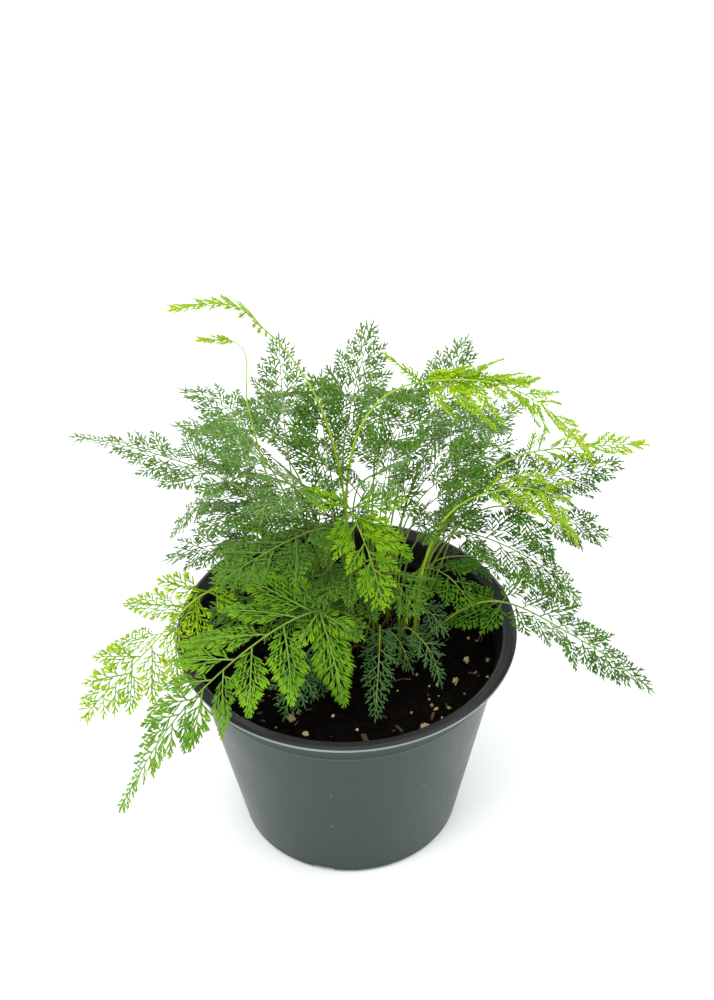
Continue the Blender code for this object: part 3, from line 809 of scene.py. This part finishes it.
def cut_drain(shell, turn):
    """Cuts a drain hole through the corner of the pot's floor and wall, at a turn in degrees."""
    bm = bmesh.new()
    bmesh.ops.create_cube(bm, size=1.0)
    bmesh.ops.scale(bm, vec=DRAIN_SIZE, verts=bm.verts)
    outward = [e for e in bm.edges if abs(e.verts[0].co.x - e.verts[1].co.x) > 1]
    bmesh.ops.bevel(bm, geom=outward, offset=1.2, segments=4, profile=0.5, affect="EDGES", material=-1)
    bmesh.ops.translate(bm, vec=(FOOT_RADIUS, 0, 0), verts=bm.verts)
    bmesh.ops.rotate(bm, cent=(0, 0, 0), matrix=Matrix.Rotation(math.radians(turn), 3, "Z"), verts=bm.verts)
    bmesh.ops.scale(bm, vec=(MM, MM, MM), verts=bm.verts)
    cutter = bpy.data.objects.new("drain", to_mesh(bm, "drain"))
    bpy.context.scene.collection.objects.link(cutter)
    cut = shell.modifiers.new("drain", "BOOLEAN")
    cut.operation, cut.object = "DIFFERENCE", cutter
    bpy.context.view_layer.update()
    done = bpy.data.meshes.new_from_object(shell.evaluated_get(bpy.context.evaluated_depsgraph_get()))
    shell.modifiers.clear()
    shell.data = done
    bpy.data.objects.remove(cutter)


def make_pot(outside, inside, edge):
    """The thin moulded pot: its wall and band are the outside's colour and its lip and inside are black."""
    shell = finish_piece("pot_shell", spun(pot_profile(), 160), [outside, inside, edge], ["pot"])
    for number in range(DRAINS):
        cut_drain(shell, FIRST_DRAIN + number * 360 / DRAINS)
    lip = POT_HEIGHT - LIP_DROP
    for face in shell.data.polygons:
        height, radius = face.center.z / MM, face.center.xy.length / MM
        # The faces round the lip's outer edge take the third finish, a painted silvery highlight.
        if height < lip + 0.35 and radius > LIP_RADIUS - 0.75:
            face.material_index = 2
        elif height > lip - 0.6 or (height > 0.6 and radius < wall(height) - 0.5 * POT_WALL):
            face.material_index = 1
        else:
            face.material_index = 0
    shell.data.shade_smooth()
    shell.data.set_sharp_from_angle(angle=math.radians(40))


def pot_finish(name, deep, pale, dust_and_highlight, roughness):
    """Satin plastic with faint drag marks from its mould, a painted highlight along its band, scuffs and
    specks.
    """
    finish = Finish(name, roughness, Specular_IOR_Level=0.36)
    place = finish.place()
    clouds = finish.noise(18, 3)
    drag = finish.noise(260, 2, vector=finish.stretched(1.0, 1.0, 0.12))
    specks = finish.noise(380, 0).between(0.83, 0.86)
    scuffs = finish.noise(60, 5, 0.75).between(0.69, 0.76) * finish.noise(500, 2).between(0.45, 0.6)
    spots = finish.node("ShaderNodeTexVoronoi", {"feature": "F1"}, {"Vector": place, "Scale": 42.0})
    marks = 1 - spots.between(0.03, 0.07)
    colour = finish.blend(clouds.between(0.3, 0.75), deep, pale)
    colour = finish.blend(drag.between(0.55, 0.8) * 0.12, colour, pale)
    height = finish.node("ShaderNodeSeparateXYZ", {}, {"Vector": place}, "Z") / MM
    # A thin pale band of painted highlight where the band's bead catches the light; the same pale colour also
    # serves the real specks, scuffs and marks.
    from_band = height - (POT_HEIGHT - BAND_DEPTH + 0.2)
    band_highlight = 1 - (from_band * from_band).between(0.05, 0.4)
    colour = finish.blend(band_highlight * 0.16 + specks * 0.5 + scuffs * 0.35 + marks * 0.3, colour, dust_and_highlight)
    finish.set(Base_Color=colour)
    finish.set(Roughness=clouds.between(0.3, 0.8) * 0.12 + drag.between(0.4, 0.8) * 0.05 + roughness - 0.06)
    finish.bump(drag * 0.4 + finish.noise(500, 2), 0.12, 0.0002)
    return finish.material


make_pot(
    pot_finish("pot outside", srgb(3, 39, 22), srgb(15, 51, 33), srgb(120, 132, 112), 0.34),
    pot_finish("pot lip and inside", srgb(24, 24, 24), srgb(38, 38, 38), srgb(90, 92, 84), 0.34),
    # A painted silvery highlight round the lip's outer edge, with the same specks and scuffs.
    pot_finish("painted lip edge highlight", srgb(104, 114, 112), srgb(158, 170, 168), srgb(200, 196, 160), 0.3),
)


# ---------------------------------------------------------------- compost, crown and what lies on them


def ground(x, y):
    """The height of the compost's surface at a place."""
    r = math.hypot(x, y)
    edge = wall(COMPOST_TOP) - POT_WALL - 0.3
    dome = -1.5 * max(0.0, r / edge - 0.6) / 0.4
    hills = 1.1 * noise.noise(Vector((x * 0.09, y * 0.09, 0.3)))
    lumps = 0.9 * noise.noise(Vector((x * 0.3, y * 0.3, 4)))
    return COMPOST_TOP - 0.6 + dome + (hills + lumps)


def compost_finish():
    """Moist dark compost with paler fibres."""
    finish = Finish("compost", 0.95, Specular_IOR_Level=0.05)
    fine, coarse = finish.noise(900, 4, 0.7), finish.noise(240, 3, 0.65)
    colour = finish.blend(coarse.between(0.35, 0.7), srgb(6, 4, 3), srgb(17, 12, 8))
    colour = finish.blend(fine.between(0.62, 0.74) * 0.5, colour, srgb(54, 38, 24))
    finish.set(Base_Color=colour)
    finish.bump(fine + coarse, 0.9, 0.0009)
    return finish.material


COMPOST = compost_finish()


def make_compost():
    """The block of compost, with a crumbly top."""
    edge = wall(COMPOST_TOP) - POT_WALL - 0.35
    profile = [(0, 1.6), (wall(4) - POT_WALL - 4, 1.6), (wall(5) - POT_WALL - 0.4, 5)]
    profile += [(edge - 0.3, COMPOST_TOP - 3)]
    profile += [(edge * (1 - i / 70), COMPOST_TOP) for i in range(71)]
    bm = spun(profile, 220)
    for vert in bm.verts:
        if vert.co.z > COMPOST_TOP - 0.1:
            x, y = vert.co.xy
            crumbs = noise.noise(Vector((x * 0.8, y * 0.8, 9))) * 0.7
            grains = noise.noise(Vector((x * 2, y * 2, 2))) * 0.4
            vert.co.z = ground(x, y) + (crumbs + grains)
    return finish_piece("compost_top", bm, [COMPOST], ["compost"])


def scatter(rng, count, edge):
    """Places on the compost, evenly over its disk."""
    for _ in range(count):
        r, turn = edge * math.sqrt(rng.random()), rng.uniform(0, math.tau)
        yield r * math.cos(turn), r * math.sin(turn)


def add_lump(bm, x, y, size, rng, detail=1, sink=0.3, squash=0.7):
    """A small uneven lump that lies on the compost."""
    made = bmesh.ops.create_icosphere(bm, subdivisions=detail, radius=size / 2)["verts"]
    for vert in made:
        vert.co *= 1 + 0.55 * noise.noise(vert.co * (2.4 / size) + Vector((x, y, 0)))
    stretch = (rng.uniform(0.8, 1.25), rng.uniform(0.75, 1.0), squash * rng.uniform(0.85, 1.1))
    bmesh.ops.scale(bm, vec=stretch, verts=made)
    turn = Matrix.Rotation(rng.uniform(0, math.tau), 3, "Z") @ Matrix.Rotation(rng.uniform(-0.5, 0.5), 3, "X")
    bmesh.ops.rotate(bm, cent=(0, 0, 0), matrix=turn, verts=made)
    bmesh.ops.translate(bm, vec=(x, y, ground(x, y) + size * squash * (0.5 - sink)), verts=made)
    return made


def make_crumbs():
    """Loose crumbs of compost."""
    rng = random.Random("crumbs")
    bm = layered("lot")
    for x, y in scatter(rng, 1500, 71):
        add_lump(bm, x, y, rng.uniform(0.9, 2.8) * (1.4 if rng.random() < 0.12 else 1), rng)
    return finish_piece("compost_crumbs", bm, [COMPOST])


def grain_finish(name, pale, mid, dark, roughness=0.85, scale=700):
    """A dry, rough finish whose colour differs from grain to grain."""
    finish = Finish(name, roughness)
    grain = finish.noise(scale, 3, 0.65)
    colour = finish.blend(finish.read("lot"), pale, mid)
    colour = finish.blend(grain.between(0.5, 0.75) * 0.7, colour, dark)
    finish.set(Base_Color=colour)
    finish.bump(grain, 0.6, 0.0004)
    return finish.material


def give_lot(bm, verts, lot):
    layer = bm.verts.layers.float["lot"]
    for vert in verts:
        vert[layer] = lot


def make_perlite():
    """White grains of perlite, the five largest where the CAD has them."""
    rng = random.Random("perlite")
    bm = layered("lot")
    placed = [(-27, -46, 4.6), (-20, -56, 3.4), (36, -53, 4.6), (52, -22, 3.8), (58, -8, 3.4)]
    placed += [(x, y, rng.uniform(0.7, 1.9)) for x, y in scatter(rng, 80, 71)]
    for x, y, size in placed:
        give_lot(bm, add_lump(bm, x, y, size, rng, detail=2, sink=0.2, squash=0.8), rng.random())
    material = grain_finish("perlite", srgb(214, 198, 150), srgb(168, 146, 94), srgb(112, 88, 50))
    solids = [f"perlite_{number}" for number in range(1, 6)]
    return finish_piece("perlite_grains", bm, [material], solids, smooth=False)


def unevenness(place):
    """A small shift in three directions that varies smoothly from place to place."""
    return Vector([noise.noise(place + Vector((apart, 0, 0))) for apart in (0, 31, 67)])


def make_bark():
    """Chips of bark, split along their grain."""
    rng = random.Random("bark")
    bm = layered("lot")
    placed = [(8, -60, 6), (24, -54, 5), (16, -46, 5), (40, -46, 4)]
    placed += [(x, y, rng.uniform(1.4, 3.8)) for x, y in scatter(rng, 60, 70)]
    for x, y, size in placed:
        made = bmesh.ops.create_cube(bm, size=1.0)["verts"]
        edges = list(dict.fromkeys(e for v in made for e in v.link_edges))
        cut = bmesh.ops.bevel(
            bm, geom=edges, offset=0.16, segments=1, profile=0.5, affect="EDGES", material=-1
        )
        made = list(dict.fromkeys(v for f in cut["faces"] for v in f.verts))
        for vert in made:
            vert.co += 0.25 * unevenness(vert.co * 1.7 + Vector((x, y, size)))
        extent = (size, size * rng.uniform(0.22, 0.45), size * rng.uniform(0.14, 0.25))
        bmesh.ops.scale(bm, vec=extent, verts=made)
        turn = Matrix.Rotation(rng.uniform(0, math.tau), 3, "Z") @ Matrix.Rotation(rng.gauss(0, 0.3), 3, "Y")
        bmesh.ops.rotate(bm, cent=(0, 0, 0), matrix=turn, verts=made)
        bmesh.ops.translate(bm, vec=(x, y, ground(x, y) + 0.9), verts=made)
        give_lot(bm, made, rng.random())
    material = grain_finish("bark", srgb(96, 58, 30), srgb(44, 28, 18), srgb(22, 14, 10), 0.8, 450)
    return finish_piece("bark_chips", bm, [material], smooth=False)


def make_feed():
    """Round grains of slow plant food."""
    rng = random.Random("feed")
    bm = layered("lot")
    placed = [(48, -40), (56, -30), (40, -38), (62, -16), (30, -44)]
    placed += [(22, -60), (-34, -50), (64, 6), (-46, -30)]
    for x, y in placed:
        size = rng.uniform(1.2, 2.2)
        give_lot(bm, add_lump(bm, x, y, size, rng, detail=2, sink=0.2, squash=0.8), rng.random())
    material = grain_finish("plant food", srgb(150, 146, 40), srgb(112, 112, 34), srgb(70, 66, 20), 0.6)
    return finish_piece("food_grains", bm, [material])


def crown_finish():
    """Dark, fibrous rootstock."""
    finish = Finish("crown", 0.95, Specular_IOR_Level=0.04)
    grain = finish.noise(900, 3, 0.7, finish.stretched(1.0, 0.25, 0.6))
    finish.set(Base_Color=finish.blend(grain.between(0.35, 0.7), srgb(6, 4, 3), srgb(26, 17, 10)))
    finish.bump(grain, 0.9, 0.001)
    return finish.material


def make_crown():
    """The mound of matted rootstock that the stalks rise from."""
    profile = [(0, COMPOST_TOP - 0.8), (CROWN_RADIUS, COMPOST_TOP - 0.8)]
    profile += [(CROWN_RADIUS * (1 - i / 24), COMPOST_TOP) for i in range(25)]
    bm = spun(profile, 72)
    bmesh.ops.translate(bm, vec=(*CROWN_PLACE, 0), verts=bm.verts)
    for vert in bm.verts:
        if vert.co.z > COMPOST_TOP - 0.5:
            x, y = vert.co.xy
            lumps = noise.noise(Vector((x * 0.22, y * 0.22, 7))) * 1.8 + noise.noise(Vector((x, y, 3))) * 1.3
            vert.co.z = COMPOST_TOP + crown_height(x, y) + lumps - 0.4
    return finish_piece("crown_mound", bm, [crown_finish()], ["crown"])


def make_litter():
    """Old stalk ends and dry scraps about the crown."""
    rng = random.Random("litter")
    bm = layered("lot")
    for _ in range(60):
        r, turn = rng.uniform(4, 40), rng.uniform(0, math.tau)
        x = CROWN_PLACE[0] + r * math.cos(turn)
        y = CROWN_PLACE[1] + r * math.sin(turn)
        length = rng.uniform(5, 16)
        foot = rng.uniform(0.45, 0.9)
        cone = bmesh.ops.create_cone(
            bm, cap_ends=True, segments=6, radius1=foot, radius2=0.3, depth=length
        )
        made = cone["verts"]
        heading = Matrix.Rotation(turn + rng.gauss(0, 0.8), 3, "Z")
        lean = heading @ Matrix.Rotation(rng.uniform(0.3, 1.5), 3, "Y")
        bmesh.ops.translate(bm, vec=(0, 0, length / 2), verts=made)
        bmesh.ops.rotate(bm, cent=(0, 0, 0), matrix=lean, verts=made)
        bmesh.ops.translate(bm, vec=(x, y, ground(x, y) + crown_height(x, y) + 0.3), verts=made)
        give_lot(bm, made, rng.random())
    material = grain_finish("old stalks", srgb(104, 64, 26), srgb(62, 40, 20), srgb(34, 22, 12), 0.8, 500)
    return finish_piece("old_stalk_ends", bm, [material])


make_compost()
make_crumbs()
make_perlite()
make_bark()
make_feed()
make_crown()
make_litter()


# ---------------------------------------------------------------- floor, light and camera


def floor_finish():
    """Plain pale card, a shade darker here and there."""
    finish = Finish("floor", 0.9)
    pale = (0.94, 0.945, 0.95)
    finish.set(Base_Color=finish.blend(finish.noise(3, 1), pale, tuple(c * 0.985 for c in pale)))
    return finish.material


def make_floor():
    bm = bmesh.new()
    bmesh.ops.create_grid(bm, x_segments=1, y_segments=1, size=6.0)
    bmesh.ops.translate(bm, vec=(0, 0, -0.0002), verts=bm.verts)
    mesh = to_mesh(bm, "floor")
    mesh.materials.append(floor_finish())
    floor = bpy.data.objects.new("floor", mesh)
    bpy.context.scene.collection.objects.link(floor)


def add_light(name, place, target, size, power):
    """A round soft lamp at a place, turned to a target."""
    data = bpy.data.lights.new(name, "AREA")
    data.shape, data.size, data.energy = "DISK", size, power
    light = bpy.data.objects.new(name, data)
    light.location = place
    light.rotation_euler = (Vector(target) - Vector(place)).to_track_quat("-Z", "Y").to_euler()
    bpy.context.scene.collection.objects.link(light)


def light_scene():
    """An even white studio with two soft lamps."""
    scene = bpy.context.scene
    world = bpy.data.worlds.new("studio")
    world.use_nodes = True
    background = world.node_tree.nodes["Background"]
    background.inputs["Color"].default_value = (0.97, 0.985, 1.0, 1)
    background.inputs["Strength"].default_value = 1.45
    scene.world = world
    add_light("key", (-0.5, -0.55, 1.3), (0, 0, 0.15), 0.7, 8.0)
    add_light("fill", (0.9, -0.3, 0.9), (0, 0, 0.1), 0.9, 3.0)
    scene.view_settings.view_transform = "Standard"


def place_camera():
    """A long lens, a little above the plant and looking down at it."""
    lean, roll = math.radians(38.3), math.radians(-1.2)
    right, back = Vector((1, 0, 0)), Vector((0, -math.cos(lean), math.sin(lean)))
    up = Vector((0, math.sin(lean), math.cos(lean)))
    across = math.cos(roll) * right + math.sin(roll) * up
    over = -math.sin(roll) * right + math.cos(roll) * up
    data = bpy.data.cameras.new("camera")
    data.sensor_fit, data.sensor_width, data.lens = "AUTO", 36, 72
    data.clip_start, data.clip_end = 0.05, 20
    camera = bpy.data.objects.new("camera", data)
    turn = Matrix((across, over, back)).transposed().to_4x4()
    camera.matrix_world = Matrix.Translation(Vector((0.0064, 0, 0.194)) + 0.921 * back) @ turn
    bpy.context.scene.collection.objects.link(camera)
    bpy.context.scene.camera = camera


make_floor()
light_scene()
place_camera()
